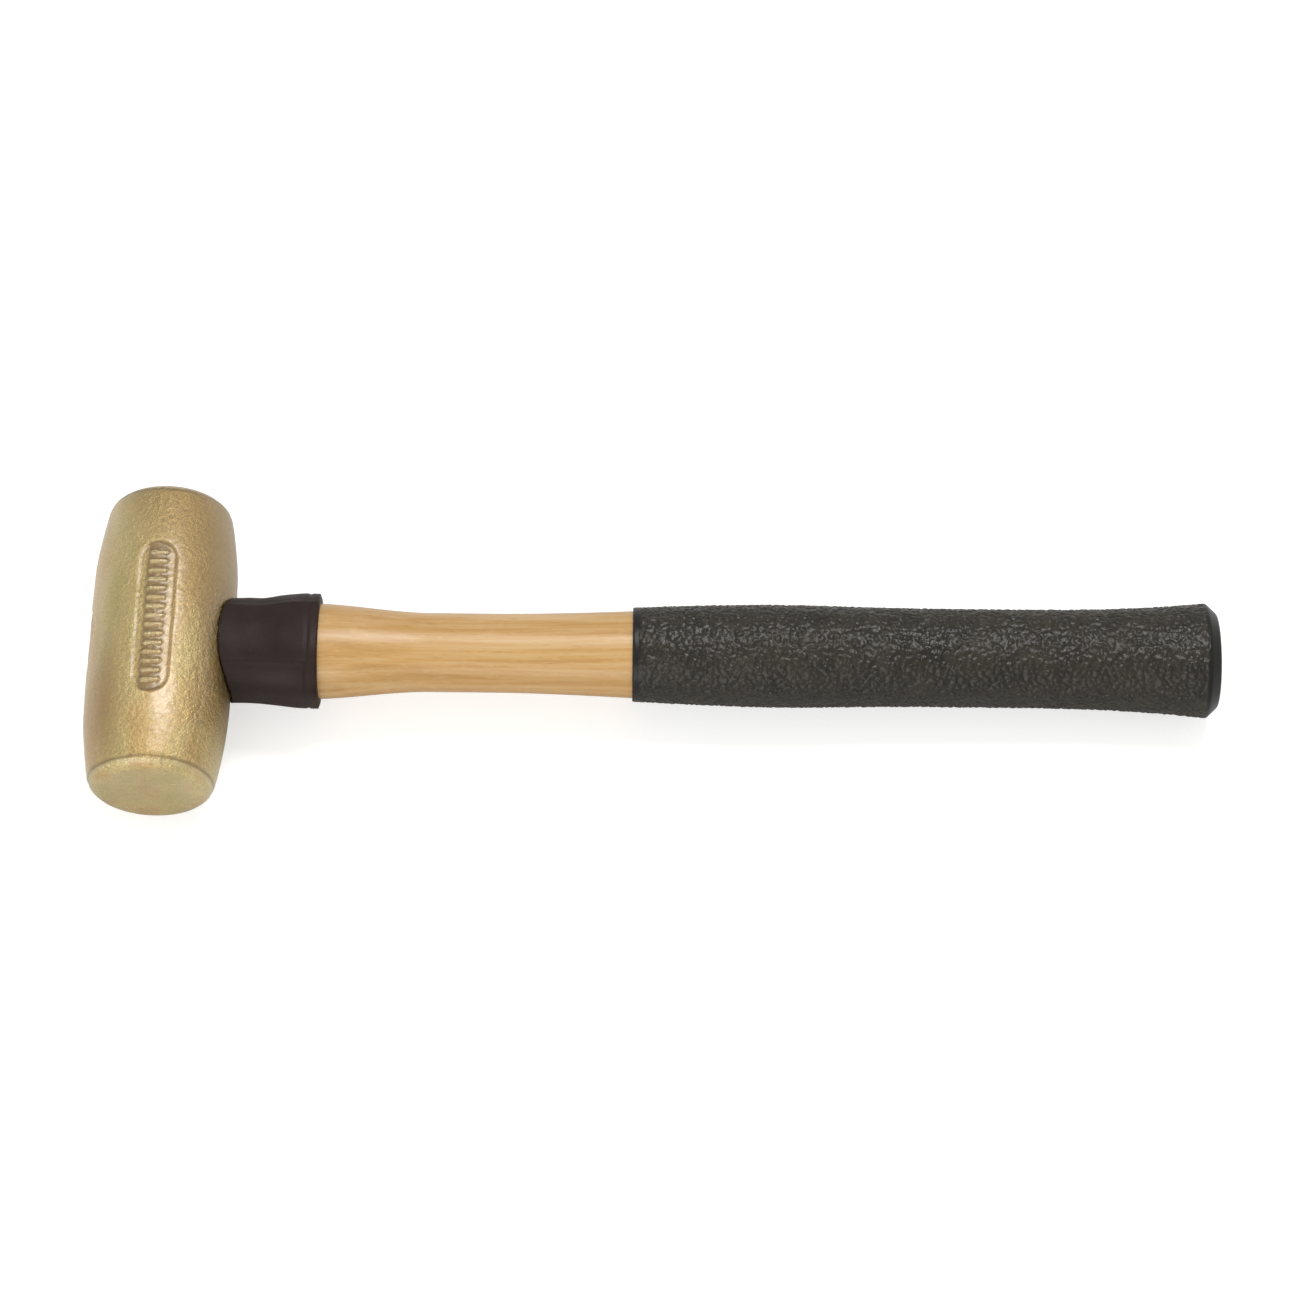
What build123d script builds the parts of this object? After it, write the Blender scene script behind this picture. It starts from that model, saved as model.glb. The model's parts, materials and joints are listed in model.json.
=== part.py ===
from build123d import *
import math
import os

# A brass hammer of the sledge kind, lying on its side as it rests on a bench.
# +X runs from the head to the butt, Y is the strike axis and +Z is up.
# The origin is on the bench, under the middle of the hammer.
# Places along the handle are measured from the head's middle. Sizes are in millimetres.

os.makedirs("parts", exist_ok=True)

# Whole hammer
OVERALL_LENGTH = 368.3  # from the head's crown to the butt's end
OVAL = 0.84  # the wood's thickness over its width, all along the handle

# Head: a cast barrel with a flat strike face at each end
HEAD_RADIUS = 23.6
HEAD_LENGTH = 104.8  # from strike face to strike face
HEAD_STRAIGHT = 34.6  # the middle stretch, which doesn't taper
RING_RADIUS = 20.4  # at the soft corner where the taper ends
RING_DEPTH = 3.1  # from that corner to the strike face
FACE_RADIUS = 15.0  # the flat part of a strike face

# Panel: a shallow stadium sunk in the barrel's upper side, with a row of plain raised ribs
PANEL_LENGTH = 55.8
PANEL_WIDTH = 13.0
PANEL_DEPTH = 0.6
PANEL_ROOT = 4.0  # how far under the barrel's top the ribs' roots start
RIB_COUNT = 15
RIB_PITCH = 3.35
RIB_LENGTH = 6.6
RIB_WIDTH = 1.4
RIB_RISE = 0.5

# Eye: an oval hole along the handle, narrow in the middle and wider at both mouths
EYE_HANDLE_WIDTH = 25.0
EYE_HANDLE_THICKNESS = 18.0
EYE_WAIST_WIDTH = 23.0
EYE_WAIST_THICKNESS = 16.0
EYE_CROWN_WIDTH = 26.0
EYE_CROWN_THICKNESS = 19.0
EYE_OVERRUN = 2.0  # how far outside the barrel the mouths are measured

# Handle: the wood's half width at its root, and at each swell and waist after it
ROOT_AT = 31.0
ROOT_HALF = 14.6
FLARE_AT = 48.0
FLARE_HALF = 16.25
NECK_PAST_FLARE = 40.0  # where the neck's narrowest stretch starts
NECK_BEFORE_GRIP = 46.0  # and where it ends
NECK_HALF = 13.4
PALM_PAST_GRIP_START = 48.0
PALM_HALF = 16.2
WAIST_PAST_PALM = 48.0
WAIST_HALF = 15.5
BUTT_HALF = 18.3
BUTT_FLARE_LENGTH = 66.0
BUTT_FLARE_CURVE = 2.6  # the power that the butt flares by: higher is later and sharper
BUTT_CHAMFER_LENGTH = 3.7
BUTT_CHAMFER_DEPTH = 3.6
CROWN_RECESS = 0.25  # how far the handle's end sits inside the barrel's surface
OVAL_PITCH = 6.0  # the most between two ovals of the handle's skin

# Wedges: a wooden one along the tenon's width, and two steel ones across it
WOOD_WEDGE_LENGTH = 32.0
WOOD_WEDGE_THICK = 3.0
WOOD_WEDGE_THIN = 1.5
STEEL_WEDGE_LENGTH = 12.0
STEEL_WEDGE_WIDTH = 14.0
STEEL_WEDGE_THICK = 3.0
STEEL_WEDGE_THIN = 0.6
STEEL_WEDGE_SPACING = 12.0

# Rubber guard behind the head, and rubber grip over the butt half of the handle
GUARD_WALL = 3.1
GUARD_END_AT = 52.0
GRIP_LENGTH = 190.7
GRIP_WALL = 1.15
GRIP_END_WALL = 1.2

# Clearances
TENON_GAP = 0.05
SEAT_GAP = 0.1  # between the barrel and what is coped to it
WEDGE_GAP = 0.02
SLEEVE_GAP = 0.05  # between the wood and the rubber on it

# Places that follow from the sizes
butt_at = OVERALL_LENGTH - HEAD_RADIUS
ring_at = butt_at - BUTT_CHAMFER_LENGTH
grip_at = butt_at - GRIP_LENGTH
grip_cover = SLEEVE_GAP + GRIP_WALL
wood_end = butt_at - GRIP_END_WALL
face_at = HEAD_LENGTH / 2

# The hammer rests on the barrel and on the grip's lower corner ring, so its handle dips
# a little towards the butt.
ring_half_thickness = BUTT_HALF * OVAL + grip_cover
rest_span = math.hypot(ring_at, ring_half_thickness)
dip = math.asin(HEAD_RADIUS / rest_span) - math.atan2(ring_half_thickness, ring_at)
along = Vector(math.cos(dip), 0, -math.sin(dip))
strike = Vector(0, 1, 0)
upper = Vector(math.sin(dip), 0, math.cos(dip))
butt_reach = butt_at * along.X + (ring_half_thickness - BUTT_CHAMFER_DEPTH) * upper.X
head_middle = Vector((HEAD_RADIUS - butt_reach) / 2, 0, HEAD_RADIUS)


def section(place):
    """Plane across the handle at a place along it: local X is the strike axis, local Y is up."""
    return Plane(origin=head_middle + along * place, x_dir=strike, z_dir=along)


side_view = Plane(origin=head_middle, x_dir=along, z_dir=strike * -1)
top_view = Plane(origin=head_middle, x_dir=along, z_dir=upper)
panel_view = Plane(origin=head_middle, x_dir=strike, z_dir=upper)


def barrel(grow):
    """The head's outer shape, with its radius grown by a margin."""
    with BuildPart() as body:
        with BuildSketch(section(0)):
            with BuildLine():
                middle = Line((0, HEAD_RADIUS + grow), (HEAD_STRAIGHT / 2, HEAD_RADIUS + grow))
                corner = (face_at - RING_DEPTH, RING_RADIUS + grow)
                TangentArc(middle @ 1, corner, tangent=middle % 1)
                TangentArc((face_at, FACE_RADIUS), corner, tangent=(0, 1))
                Line((face_at, FACE_RADIUS), (face_at, 0))
                mirror(about=Plane.YZ)
                Line((-face_at, 0), (face_at, 0))
            make_face()
        revolve(axis=Axis(head_middle, strike))
    return body.part


def eye_shape(grow):
    """The eye's hourglass, from mouth to mouth, with every oval grown by a margin."""
    mouth = HEAD_RADIUS + EYE_OVERRUN
    ovals = [
        (-mouth, EYE_CROWN_WIDTH, EYE_CROWN_THICKNESS),
        (0, EYE_WAIST_WIDTH, EYE_WAIST_THICKNESS),
        (mouth, EYE_HANDLE_WIDTH, EYE_HANDLE_THICKNESS),
    ]
    with BuildPart() as body:
        for place, width, thickness in ovals:
            with BuildSketch(section(place)):
                Ellipse(width / 2 + grow, thickness / 2 + grow)
        loft(ruled=True)
    return body.part


def ease(place, start, end):
    """Zero before the start, one after the end, and a smooth S between them."""
    share = min(max((place - start) / (end - start), 0), 1)
    return share * share * (3 - 2 * share)


def wood_half_width(place):
    """The wood's half width: each swell and waist comes in over its own stretch."""
    palm_at = grip_at + PALM_PAST_GRIP_START
    flare_share = max(0, 1 - (ring_at - place) / BUTT_FLARE_LENGTH)
    return (
        ROOT_HALF
        + (FLARE_HALF - ROOT_HALF) * ease(place, ROOT_AT, FLARE_AT)
        + (NECK_HALF - FLARE_HALF) * ease(place, FLARE_AT, FLARE_AT + NECK_PAST_FLARE)
        + (PALM_HALF - NECK_HALF) * ease(place, grip_at - NECK_BEFORE_GRIP, palm_at)
        + (WAIST_HALF - PALM_HALF) * ease(place, palm_at, palm_at + WAIST_PAST_PALM)
        + (BUTT_HALF - WAIST_HALF) * flare_share**BUTT_FLARE_CURVE
    )


def oval_bar(start, end, grow):
    """A smooth bar that follows the wood's outline, with every oval grown by a margin."""
    steps = math.ceil((end - start) / OVAL_PITCH)
    with BuildPart() as body:
        for step in range(steps + 1):
            place = start + (end - start) * step / steps
            half_width = wood_half_width(place)
            with BuildSketch(section(place)):
                Ellipse(half_width + grow, half_width * OVAL + grow)
        loft()
    return body.part


def root_bar(grow):
    """The straight stretch from the head's middle to the handle's root."""
    with BuildPart() as body:
        with BuildSketch(section(0)):
            Ellipse(ROOT_HALF + grow, ROOT_HALF * OVAL + grow)
        extrude(amount=ROOT_AT)
    return body.part


def butt_end(grow, end):
    """The chamfered end, from the corner ring to the end face at a place."""
    with BuildPart() as body:
        for place, cut in ((ring_at, 0), (end, BUTT_CHAMFER_DEPTH)):
            with BuildSketch(section(place)):
                Ellipse(BUTT_HALF + grow - cut, BUTT_HALF * OVAL + grow - cut)
        loft(ruled=True)
    return body.part


def wedge(view, offset, length, thick, thin, width, grow):
    """A key driven in from the crown, drawn in a view that holds the handle's axis."""
    crown = -HEAD_RADIUS - EYE_OVERRUN
    tip = length - HEAD_RADIUS
    with BuildPart() as body:
        with BuildSketch(view):
            with BuildLine():
                Polyline(
                    (crown, offset - thick / 2 - grow),
                    (tip + grow, offset - thin / 2 - grow),
                    (tip + grow, offset + thin / 2 + grow),
                    (crown, offset + thick / 2 + grow),
                    close=True,
                )
            make_face()
        extrude(amount=width / 2 + grow, both=True)
    return body.part


def wood_wedge_shape(grow):
    """The wooden wedge, wider than the tenon that it splits."""
    return wedge(
        side_view, 0, WOOD_WEDGE_LENGTH, WOOD_WEDGE_THICK, WOOD_WEDGE_THIN, EYE_CROWN_WIDTH, grow
    )


def steel_wedge_shapes(grow):
    """The two steel wedges, one each side of the middle."""
    return [
        wedge(
            top_view, side * STEEL_WEDGE_SPACING / 2, STEEL_WEDGE_LENGTH,
            STEEL_WEDGE_THICK, STEEL_WEDGE_THIN, STEEL_WEDGE_WIDTH, grow,
        )
        for side in (-1, 1)
    ]


# What lies outside the barrel on the crown side, less the recess of the handle's end
with BuildPart() as crown_waste:
    with BuildSketch(section(0)):
        Rectangle(HEAD_LENGTH, 2 * HEAD_RADIUS)
    extrude(amount=-HEAD_RADIUS - 2 * EYE_OVERRUN)
    add(barrel(-CROWN_RECESS), mode=Mode.SUBTRACT)


# Wood without its tenon, grown so that the rubber pieces can be cut to fit over it
with BuildPart() as sleeve_core:
    add(root_bar(SLEEVE_GAP))
    add(oval_bar(ROOT_AT, ring_at, SLEEVE_GAP))
    add(butt_end(SLEEVE_GAP, wood_end))


# Head: cast brass barrel, with its panel and ribs cast in and its eye cored through
with BuildPart() as panel:
    with BuildSketch(panel_view):
        SlotOverall(PANEL_LENGTH, PANEL_WIDTH)
    extrude(amount=HEAD_RADIUS + PANEL_ROOT)
    add(barrel(-PANEL_DEPTH), mode=Mode.SUBTRACT)

with BuildPart() as ribs:
    with BuildSketch(panel_view.offset(HEAD_RADIUS - PANEL_ROOT)):
        with GridLocations(RIB_PITCH, 0, RIB_COUNT, 1):
            SlotOverall(RIB_LENGTH, RIB_WIDTH, rotation=90)
    extrude(amount=2 * PANEL_ROOT)
    add(barrel(RIB_RISE - PANEL_DEPTH), mode=Mode.INTERSECT)

with BuildPart() as head:
    add(barrel(0))
    add(panel.part, mode=Mode.SUBTRACT)
    add(ribs.part)
    add(eye_shape(0), mode=Mode.SUBTRACT)
head.part.label = "head"
export_step(head.part, "parts/head.step")


# Handle: one length of hickory, coped to the barrel, with a tenon through the eye
with BuildPart() as handle:
    add(root_bar(0))
    add(oval_bar(ROOT_AT, ring_at, 0))
    add(butt_end(0, wood_end))
    add(barrel(SEAT_GAP), mode=Mode.SUBTRACT)
    add(eye_shape(-TENON_GAP))
    add(crown_waste.part, mode=Mode.SUBTRACT)
    add(wood_wedge_shape(WEDGE_GAP), mode=Mode.SUBTRACT)
    add(steel_wedge_shapes(WEDGE_GAP), mode=Mode.SUBTRACT)
handle.part.label = "handle"
export_step(handle.part, "parts/handle.step")


# Wooden wedge: driven into the tenon's sawn kerf, then crossed by the steel ones
with BuildPart() as wood_wedge:
    add(wood_wedge_shape(0))
    add(eye_shape(-TENON_GAP), mode=Mode.INTERSECT)
    add(crown_waste.part, mode=Mode.SUBTRACT)
    add(steel_wedge_shapes(WEDGE_GAP), mode=Mode.SUBTRACT)
wood_wedge.part.label = "wood_wedge"
export_step(wood_wedge.part, "parts/wood_wedge.step")


# Steel wedges: a pair driven across the tenon and ground flush with it
with BuildPart() as steel_wedges:
    add(steel_wedge_shapes(0))
    add(crown_waste.part, mode=Mode.SUBTRACT)
steel_wedges.part.label = "steel_wedges"
export_step(steel_wedges.part, "parts/steel_wedges.step")


# Guard: a moulded rubber sleeve that saddles the barrel and takes the blows that miss
with BuildPart() as guard:
    add(root_bar(SLEEVE_GAP + GUARD_WALL))
    add(oval_bar(ROOT_AT, GUARD_END_AT, SLEEVE_GAP + GUARD_WALL))
    add(barrel(SEAT_GAP), mode=Mode.SUBTRACT)
    add(sleeve_core.part, mode=Mode.SUBTRACT)
guard.part.label = "guard"
export_step(guard.part, "parts/guard.step")


# Grip: a rubber sleeve with a closed, chamfered end
with BuildPart() as grip:
    add(oval_bar(grip_at, ring_at, grip_cover))
    add(butt_end(grip_cover, butt_at))
    add(sleeve_core.part, mode=Mode.SUBTRACT)
grip.part.label = "grip"
export_step(grip.part, "parts/grip.step")
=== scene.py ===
import json

import bpy
import numpy as np
from mathutils import Matrix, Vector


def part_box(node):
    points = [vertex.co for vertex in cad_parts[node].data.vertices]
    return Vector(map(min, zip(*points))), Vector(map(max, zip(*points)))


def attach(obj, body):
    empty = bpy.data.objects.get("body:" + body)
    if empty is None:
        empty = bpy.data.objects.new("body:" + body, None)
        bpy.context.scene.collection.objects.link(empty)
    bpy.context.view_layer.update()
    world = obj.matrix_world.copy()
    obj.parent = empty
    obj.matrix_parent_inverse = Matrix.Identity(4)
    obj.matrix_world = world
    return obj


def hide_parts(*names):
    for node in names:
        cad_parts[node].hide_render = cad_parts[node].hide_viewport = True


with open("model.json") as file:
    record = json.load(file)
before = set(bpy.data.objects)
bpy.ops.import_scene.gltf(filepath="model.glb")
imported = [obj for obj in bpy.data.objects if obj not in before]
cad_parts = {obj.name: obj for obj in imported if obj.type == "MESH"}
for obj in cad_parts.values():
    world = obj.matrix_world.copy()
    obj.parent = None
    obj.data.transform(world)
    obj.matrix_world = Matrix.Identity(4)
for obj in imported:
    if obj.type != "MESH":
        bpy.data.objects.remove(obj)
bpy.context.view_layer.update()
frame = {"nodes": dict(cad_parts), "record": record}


# Head -------------------------------------------------------------------------------------
# One brass casting: a barrel that tapers to two flat strike faces, with a shallow panel of
# plain ribs sunk in its upper side and an oval eye cored through the middle for the handle.
# It is shot-blasted after casting, so it has a grain, and it tarnishes under a thin clear film.

# Millimetres, in the hammer's own directions: along the handle, along the strike axis, upwards.
# The two strike faces give the head's middle, and the neck gives the handle's direction.
MM = 0.001
mounts = {mount["name"]: mount for mount in frame["record"]["mounts"]}
faces = [np.array(mounts[side]["pos_m"]) for side in ("strike_face_left", "strike_face_right")]
head_middle = (faces[0] + faces[1]) / 2
along = np.array(mounts["neck"]["axis"])
strike = np.array(mounts["strike_face_left"]["axis"])
hammer_axes = np.array([along, strike, np.cross(along, strike)])

face_at = np.linalg.norm(faces[0] - faces[1]) / 2 / MM
head_low, head_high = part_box("head")
barrel_radius = (head_high[0] - head_low[0]) / 2 / MM
BARREL_STRAIGHT = 34.6
RING_RADIUS = 20.4
RING_DEPTH = 3.1
FACE_RADIUS = 15.0
RING_GROOVE = 0.3
RING_GROOVE_WIDTH = 0.55
PANEL_LENGTH = 55.8
PANEL_WIDTH = 13.0
PANEL_DEPTH = 0.55
PANEL_WALL = 1.2
RIB_COUNT = 15
RIB_PITCH = 3.35
RIB_LENGTH = 6.6
RIB_WIDTH = 1.4
RIB_RISE = 0.5
EYE_MOUTH_CROWN = (13.0, 9.5)
EYE_WAIST = (11.5, 8.0)
EYE_MOUTH_HANDLE = (12.5, 9.0)
EYE_OVERRUN = 2.0
EYE_BEVEL = 0.7
EYE_STEPS = 160
HEAD_STEPS = 280
HEAD_PITCH = 0.5
HEAD_SOFTENING = 1.0
UNEVEN_INSIDE_RING = 2.0
CAST_INSET = 0.13
SWELL_HEIGHT = 0.05
SWELL_WAVE = 14.0
GRAIN_HEIGHT = 0.013
GRAIN_WAVE = 2.8
SAND_HEIGHT = 0.017
SAND_WAVE = 1.6
# where each face's rim gets a painted highlight, a bright line just past the ring's groove, and how
# strong it is
RIM_PAST_RING = 0.9
RIM_WIDTH = 0.6
RIM_HIGHLIGHT = 0.9
RIB_WORN = 0.6
# tarnish and painted shade on the sunk panel's floor, which the ribs are partly cleared of, and painted
# shade on its walls and in the ring's groove
RIB_CLEARED = 0.65
FLOOR_TARNISH_AND_SHADE = 0.25
WALL_SHADE = 0.6
WALL_SHADE_WIDTH = 0.35
GROOVE_SHADE = 0.9
# how fast the painted shade darkens towards the handle and towards the far face
SHADE_ALONG = 38.0
SHADE_ACROSS = 17.0
STAIN_AT = (-15.0, -29.0, 16.0)
STAIN_SIZE = (8.0, 22.0, 14.0)
taper_run = face_at - RING_DEPTH - BARREL_STRAIGHT / 2
taper_drop = barrel_radius - RING_RADIUS
taper_arc = (taper_run**2 + taper_drop**2) / (2 * taper_drop)


def ease(value, start, end):
    """Zero before start, one after end, and 3t^2 - 2t^3 of the share t in between."""
    share = np.clip((value - start) / (end - start), 0, 1)
    return share * share * (3 - 2 * share)


def even_steps(outline, pitch, soften):
    """The outline resampled at even steps of its length, its corners rounded by averaging
    each point with its neighbours as far as soften to either side."""
    run = np.concatenate([[0], np.cumsum(np.hypot(*np.diff(outline, axis=0).T))])
    fine = pitch / 4
    marks = np.linspace(0, run[-1], int(run[-1] / fine))
    points = np.stack([np.interp(marks, run, outline[:, axis]) for axis in (0, 1)], 1)
    reach = max(1, int(soften / fine))
    padded = np.pad(points, ((reach, reach), (0, 0)), mode="reflect", reflect_type="odd")
    weights = np.hanning(2 * reach + 3)[1:-1]
    weights /= weights.sum()
    points = np.stack([np.convolve(padded[:, axis], weights, "valid") for axis in (0, 1)], 1)
    kept = np.linspace(0, len(points) - 1, int(run[-1] / pitch) + 1).round().astype(int)
    return points[kept]


def uneven(points, wavelength, seed, waves=36):
    """A smooth random field of about unit size: the sum of plane waves sin(k.p + phase), with
    random directions and with lengths spread by a third around the given wavelength."""
    random = np.random.default_rng(seed)
    direction = random.normal(size=(waves, 3))
    direction /= np.linalg.norm(direction, axis=1, keepdims=True)
    length = wavelength * random.uniform(0.7, 1.4, (waves, 1))
    phase = random.uniform(0, 2 * np.pi, waves)
    total = np.zeros(points.shape[:-1])
    for turn, start in zip(direction / length * 2 * np.pi, phase):
        total += np.sin(points @ turn + start)
    return total * np.sqrt(2 / waves)


def skin(name, rings, ends="poles", crease=40, **attributes):
    """A closed mesh over a grid of points (ring, step, 3) in millimetres: every ring closes on
    itself, and the first and last rings end in a point at their middle, or join each other.
    Each attribute holds a value for every point, for the material to read."""
    count, steps = rings.shape[:2]
    ring, step = np.mgrid[0 : count - (ends == "poles"), 0:steps]
    after, above = (step + 1) % steps, (ring + 1) % count
    corners = [ring * steps + step, ring * steps + after, above * steps + after, above * steps + step]
    polygons = np.stack(corners, -1).reshape(-1, 4).tolist()
    points = rings.reshape(-1, 3)
    if ends == "poles":
        points = np.concatenate([points, [rings[0].mean(0), rings[-1].mean(0)]])
        first, last = len(points) - 2, len(points) - 1
        edge = np.arange(steps)
        turn = (edge + 1) % steps
        top = (count - 1) * steps
        polygons += np.stack([turn, edge, np.full(steps, first)], -1).tolist()
        polygons += np.stack([top + edge, top + turn, np.full(steps, last)], -1).tolist()
    mesh = bpy.data.meshes.new(name)
    mesh.from_pydata(head_middle + points * MM @ hammer_axes, [], polygons)
    for label, values in attributes.items():
        values = np.append(values.ravel(), [0.0] * (len(points) - values.size))
        mesh.attributes.new(label, "FLOAT", "POINT").data.foreach_set("value", values)
    mesh.shade_smooth()
    mesh.set_sharp_from_angle(angle=np.radians(crease))
    piece = bpy.data.objects.new(name, mesh)
    bpy.context.scene.collection.objects.link(piece)
    return piece


WELD_WITHIN = 0.000005


def cut(piece, *cutters, crease=40):
    """The piece less each cutter, which is then deleted. Corners of the cut that lie closer
    than WELD_WITHIN metres become one, so no sliver is left; the cut's edges stay sharp."""
    for cutter in cutters:
        bite = piece.modifiers.new("bite", "BOOLEAN")
        bite.operation = "DIFFERENCE"
        bite.solver = "EXACT"
        bite.object = cutter
    weld = piece.modifiers.new("weld", "WELD")
    weld.merge_threshold = WELD_WITHIN
    solid = piece.evaluated_get(bpy.context.evaluated_depsgraph_get())
    mesh = bpy.data.meshes.new_from_object(solid)
    piece.modifiers.clear()
    piece.data = mesh
    mesh.shade_smooth()
    mesh.set_sharp_from_angle(angle=np.radians(crease))
    for cutter in cutters:
        bpy.data.objects.remove(cutter)


def barrel_outline():
    """Half profile (strike place, radius) from one face's middle to the other's: a flat, a
    corner arc, a long taper arc, a straight middle, and the same again mirrored."""
    corner_rise = RING_RADIUS - FACE_RADIUS
    corner_arc = (RING_DEPTH**2 + corner_rise**2) / (2 * RING_DEPTH)
    corner = np.linspace(0, np.arcsin(corner_rise / corner_arc), 12)
    taper = np.linspace(np.arcsin(taper_run / taper_arc), 0, 24)
    place = np.concatenate([
        [face_at, face_at],
        face_at - corner_arc * (1 - np.cos(corner[1:])),
        BARREL_STRAIGHT / 2 + taper_arc * np.sin(taper[1:]),
        [0],
    ])
    radius = np.concatenate([
        [0, FACE_RADIUS],
        FACE_RADIUS + corner_arc * np.sin(corner[1:]),
        barrel_radius - taper_arc * (1 - np.cos(taper[1:])),
        [barrel_radius],
    ])
    half = np.stack([-place, radius], 1)
    return np.concatenate([half, half[-2::-1] * [-1, 1]])


def stadium(across, length, width):
    """Distance outside a stadium that lies along the second coordinate, negative inside."""
    beyond = np.maximum(np.abs(across[1]) - (length - width) / 2, 0)
    return np.hypot(across[0], beyond) - width / 2


def head_rings():
    """The barrel's profile turned about the strike axis. Its radius changes by a groove along the
    ring where its side meets each face, by the sunk panel, by the ribs on the panel's floor and
    by the casting's unevenness. Two masks go with it: rubbed ribs with a painted highlight along
    each face's rim, and tarnish on the panel's floor with painted shade among its ribs, on its
    walls and in the ring's groove."""
    profile = even_steps(barrel_outline(), HEAD_PITCH, HEAD_SOFTENING)[1:-1]
    angle = np.linspace(0, 2 * np.pi, HEAD_STEPS, endpoint=False)
    place, radius = profile[:, :1], profile[:, 1:]
    past_ring = np.abs(place) - (face_at - RING_DEPTH)
    groove = np.exp(-((np.hypot(past_ring, radius - RING_RADIUS) / RING_GROOVE_WIDTH) ** 2))
    radius = radius - RING_GROOVE * groove
    unrolled = barrel_radius * np.arctan2(np.sin(angle), np.cos(angle))[None], place
    from_middle = np.abs(unrolled[0])
    in_panel = stadium(unrolled, PANEL_LENGTH, PANEL_WIDTH)
    sunk = 1 - ease(in_panel, -PANEL_WALL, PANEL_WALL / 3)
    last_rib = RIB_COUNT // 2
    nearest = np.clip(np.round(place / RIB_PITCH), -last_rib, last_rib) * RIB_PITCH
    past_rib = np.maximum(from_middle - (RIB_LENGTH - RIB_WIDTH) / 2, 0)
    rib = 1 - ease(np.hypot(past_rib, place - nearest), RIB_WIDTH * 0.25, RIB_WIDTH * 0.75)
    rings = np.stack(np.broadcast_arrays(radius * np.sin(angle), place, radius * np.cos(angle)), -1)
    grain = GRAIN_HEIGHT * uneven(rings, GRAIN_WAVE, 2)
    grain = grain + SAND_HEIGHT * uneven(rings, SAND_WAVE, 3, waves=72)
    cast = SWELL_HEIGHT * uneven(rings, SWELL_WAVE, 1) + grain - CAST_INSET
    grown = (rib * RIB_RISE - PANEL_DEPTH) * sunk + cast
    scale = 1 + np.where(radius > RING_RADIUS - UNEVEN_INSIDE_RING, grown / radius, 0)
    rings = rings * np.stack([scale, np.ones_like(scale), scale], -1)
    # painted highlight along each face's rim; the ribs' share of this mask is rubbed wear
    rim = np.exp(-(((past_ring - RIM_PAST_RING) / RIM_WIDTH) ** 2))
    worn = np.maximum(rim * RIM_HIGHLIGHT, rib * sunk * RIB_WORN) + 0 * angle
    # painted shade on the panel's walls and in the ring's groove; tarnish and painted shade on the
    # panel's floor, most among the ribs
    in_wall = np.exp(-((in_panel + PANEL_WALL / 3) / WALL_SHADE_WIDTH) ** 2)
    among_ribs = 1 - ease(from_middle, RIB_LENGTH / 2 - 0.2, RIB_LENGTH / 2 + 0.9)
    on_floor = FLOOR_TARNISH_AND_SHADE + (1 - FLOOR_TARNISH_AND_SHADE) * among_ribs
    tarnished = sunk * on_floor * (1 - RIB_CLEARED * rib)
    tarnished = tarnished + in_wall * WALL_SHADE + groove * GROOVE_SHADE
    return rings, worn, tarnished


def eye_half(place):
    """The eye's half width and half thickness at places along the handle: straight from the
    waist to each mouth."""
    mouth = barrel_radius + EYE_OVERRUN
    stations = zip(EYE_MOUTH_CROWN, EYE_WAIST, EYE_MOUTH_HANDLE)
    return [np.interp(place, [-mouth, 0, mouth], halves) for halves in stations]


def eye_rings():
    """The eye's hourglass as rings along the handle. Near each mouth the rings follow the
    barrel's curve at a depth, and open by the same amount as they come up. Both sides take the
    crown side's heights."""
    angle = np.linspace(0, 2 * np.pi, EYE_STEPS, endpoint=False)
    depth = np.array([-3.0, 0.0, EYE_BEVEL / 2, EYE_BEVEL, 4.0, 12.0, barrel_radius])
    half_width, half_thickness = eye_half(-(barrel_radius - depth))
    open_by = np.maximum(EYE_BEVEL - depth, 0)[:, None]
    strike_part = (half_width[:, None] + open_by) * np.cos(angle)
    upper_part = (half_thickness[:, None] + open_by) * np.sin(angle)
    shell = np.sqrt(np.maximum(barrel_radius**2 - upper_part**2, 0))
    height = shell * (1 - depth / barrel_radius)[:, None] - np.minimum(depth, 0)[:, None]
    crown = np.stack([-height, strike_part, upper_part], -1)
    half_width, half_thickness = eye_half(barrel_radius - depth)
    strike_part = (half_width[:, None] + open_by) * np.cos(angle)
    upper_part = (half_thickness[:, None] + open_by) * np.sin(angle)
    handle_side = np.stack([height, strike_part, upper_part], -1)
    return np.concatenate([crown, handle_side[-2::-1]])


def node(tree, kind, inputs=None, **settings):
    """A shader node with its settings, and its inputs set to values or linked to sockets."""
    made = tree.nodes.new(kind)
    for key, value in settings.items():
        setattr(made, key, value)
    for key, value in (inputs or {}).items():
        if isinstance(value, bpy.types.NodeSocket):
            tree.links.new(value, made.inputs[key])
        else:
            made.inputs[key].default_value = value
    return made


def finish(name, **constants):
    """A material with one Principled shader, whose constants are set on its own sockets."""
    material = bpy.data.materials.new(name)
    material.use_nodes = True
    tree = material.node_tree
    shader = tree.nodes["Principled BSDF"]
    for key, value in constants.items():
        shader.inputs[key.replace("_", " ")].default_value = value
    return material, tree, shader


def ramp(tree, factor, *stops):
    """A colour ramp with stops given as (place, colour)."""
    made = node(tree, "ShaderNodeValToRGB", {"Fac": factor})
    elements = made.color_ramp.elements
    while len(elements) < len(stops):
        elements.new(0.5)
    for element, (place, colour) in zip(elements, stops):
        element.position = place
        element.color = colour
    return made.outputs["Color"]


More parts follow.
